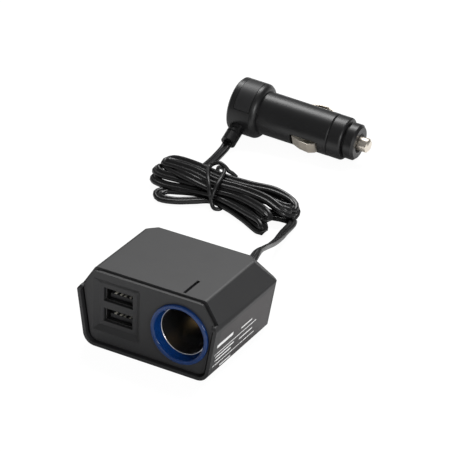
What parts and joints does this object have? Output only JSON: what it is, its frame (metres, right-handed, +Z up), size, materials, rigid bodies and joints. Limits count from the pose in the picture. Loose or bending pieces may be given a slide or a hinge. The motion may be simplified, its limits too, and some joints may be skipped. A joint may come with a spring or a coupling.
{
  "type": "car usb charger with accessory plug",
  "caption": "Small car power splitter box with stacked USB ports and an accessory socket, on a flat twin cord folded in a tied hank that ends in an accessory plug.",
  "frame": {"origin": "middle of the box's footprint, on the surface the box, the hank and the plug stand on", "axes": "+Z up, -Y out of the front panel with the ports and the socket, +X to the right as seen from the front"},
  "size_m": [0.1158, 0.2219, 0.0356],
  "materials": {
    "case_top": "satin",
    "case_base": "satin",
    "panel": "satin",
    "label": "printed vinyl, satin",
    "led_window": "clear smoke",
    "board": "solder mask",
    "led": "clear",
    "port_steel": "plated",
    "port_tongue": "moulded",
    "gold_contact": "gold plated",
    "zinc_steel": "zinc plated",
    "ferrite": "sintered",
    "capacitor": "sleeved",
    "chip": "moulded",
    "blue_ring": "tinted translucent",
    "barrel_steel": "plated",
    "phenolic": "pressed",
    "brass": "bare",
    "red_wire": "insulation",
    "black_wire": "insulation",
    "black_steel": "black oxide",
    "pvc": "soft satin",
    "tie": "satin",
    "plug_plastic": "satin",
    "pad": "satin",
    "holder": "moulded",
    "spring_steel": "bare",
    "glass": "clear",
    "nickel": "nickel plated",
    "contact_nickel": "nickel plated spring steel"
  },
  "bodies": {
    "splitter": {"top_shell": "case_top", "base_tray": "case_base", "front_panel": "panel", "rating_label": "label", "led_window": "led_window", "led_board": "board", "status_led": "led", "usb_shell_upper": "port_steel", "usb_shell_lower": "port_steel", "usb_tongue_upper": "port_tongue", "usb_tongue_lower": "port_tongue", "usb_contacts_upper": "gold_contact", "usb_contacts_lower": "gold_contact", "usb_board": "board", "main_board": "board", "board_screws": "zinc_steel", "power_inductor": "ferrite", "filter_capacitors": "capacitor", "regulator_chip": "chip", "catch_diode": "chip", "socket_ring": "blue_ring", "socket_lock_ring": "panel", "socket_barrel": "barrel_steel", "socket_insulator": "phenolic", "socket_contact": "brass", "socket_nut": "zinc_steel", "positive_lead": "red_wire", "negative_lead": "black_wire", "case_screws": "black_steel", "cord_gland": "pvc", "cord": "pvc", "cord_hank": "pvc", "cable_tie": "tie", "plug_head": "plug_plastic", "plug_head_pad": "pad", "plug_barrel": "plug_plastic", "plug_relief": "pvc", "plug_lead": "red_wire", "fuse_holder": "holder", "fuse_seat": "brass", "fuse_spring": "spring_steel", "nose_collar": "plug_plastic", "nose_cap": "plug_plastic"},
    "tip": {"tip_contact": "nickel", "fuse_glass": "glass", "fuse_caps": "nickel", "fuse_wire": "zinc_steel"},
    "near_contact": {"side_contact_near": "contact_nickel"},
    "far_contact": {"side_contact_far": "contact_nickel"}
  },
  "joints": [
    {"name": "tip_press", "type": "slide", "parent": "splitter", "child": "tip", "axis": [0.9968, 0.04, -0.0695], "range_m": [-0.0025, 0], "stiffness_N_per_m": 600, "springref_m": 0.002, "deforming": ["fuse_spring"]},
    {"name": "near_contact_flex", "type": "hinge", "parent": "splitter", "child": "near_contact", "pos_m": [-0.04388, 0.1769, 0.00917], "axis": [0.0802, -0.4589, 0.8849], "range_deg": [0, 6.5], "stiffness_Nm_per_rad": 0.1, "springref_deg": -6.88},
    {"name": "far_contact_flex", "type": "hinge", "parent": "splitter", "child": "far_contact", "pos_m": [-0.04392, 0.18906, 0.01548], "axis": [-0.0802, 0.4589, -0.8849], "range_deg": [0, 6.5], "stiffness_Nm_per_rad": 0.1, "springref_deg": -6.88}
  ]
}
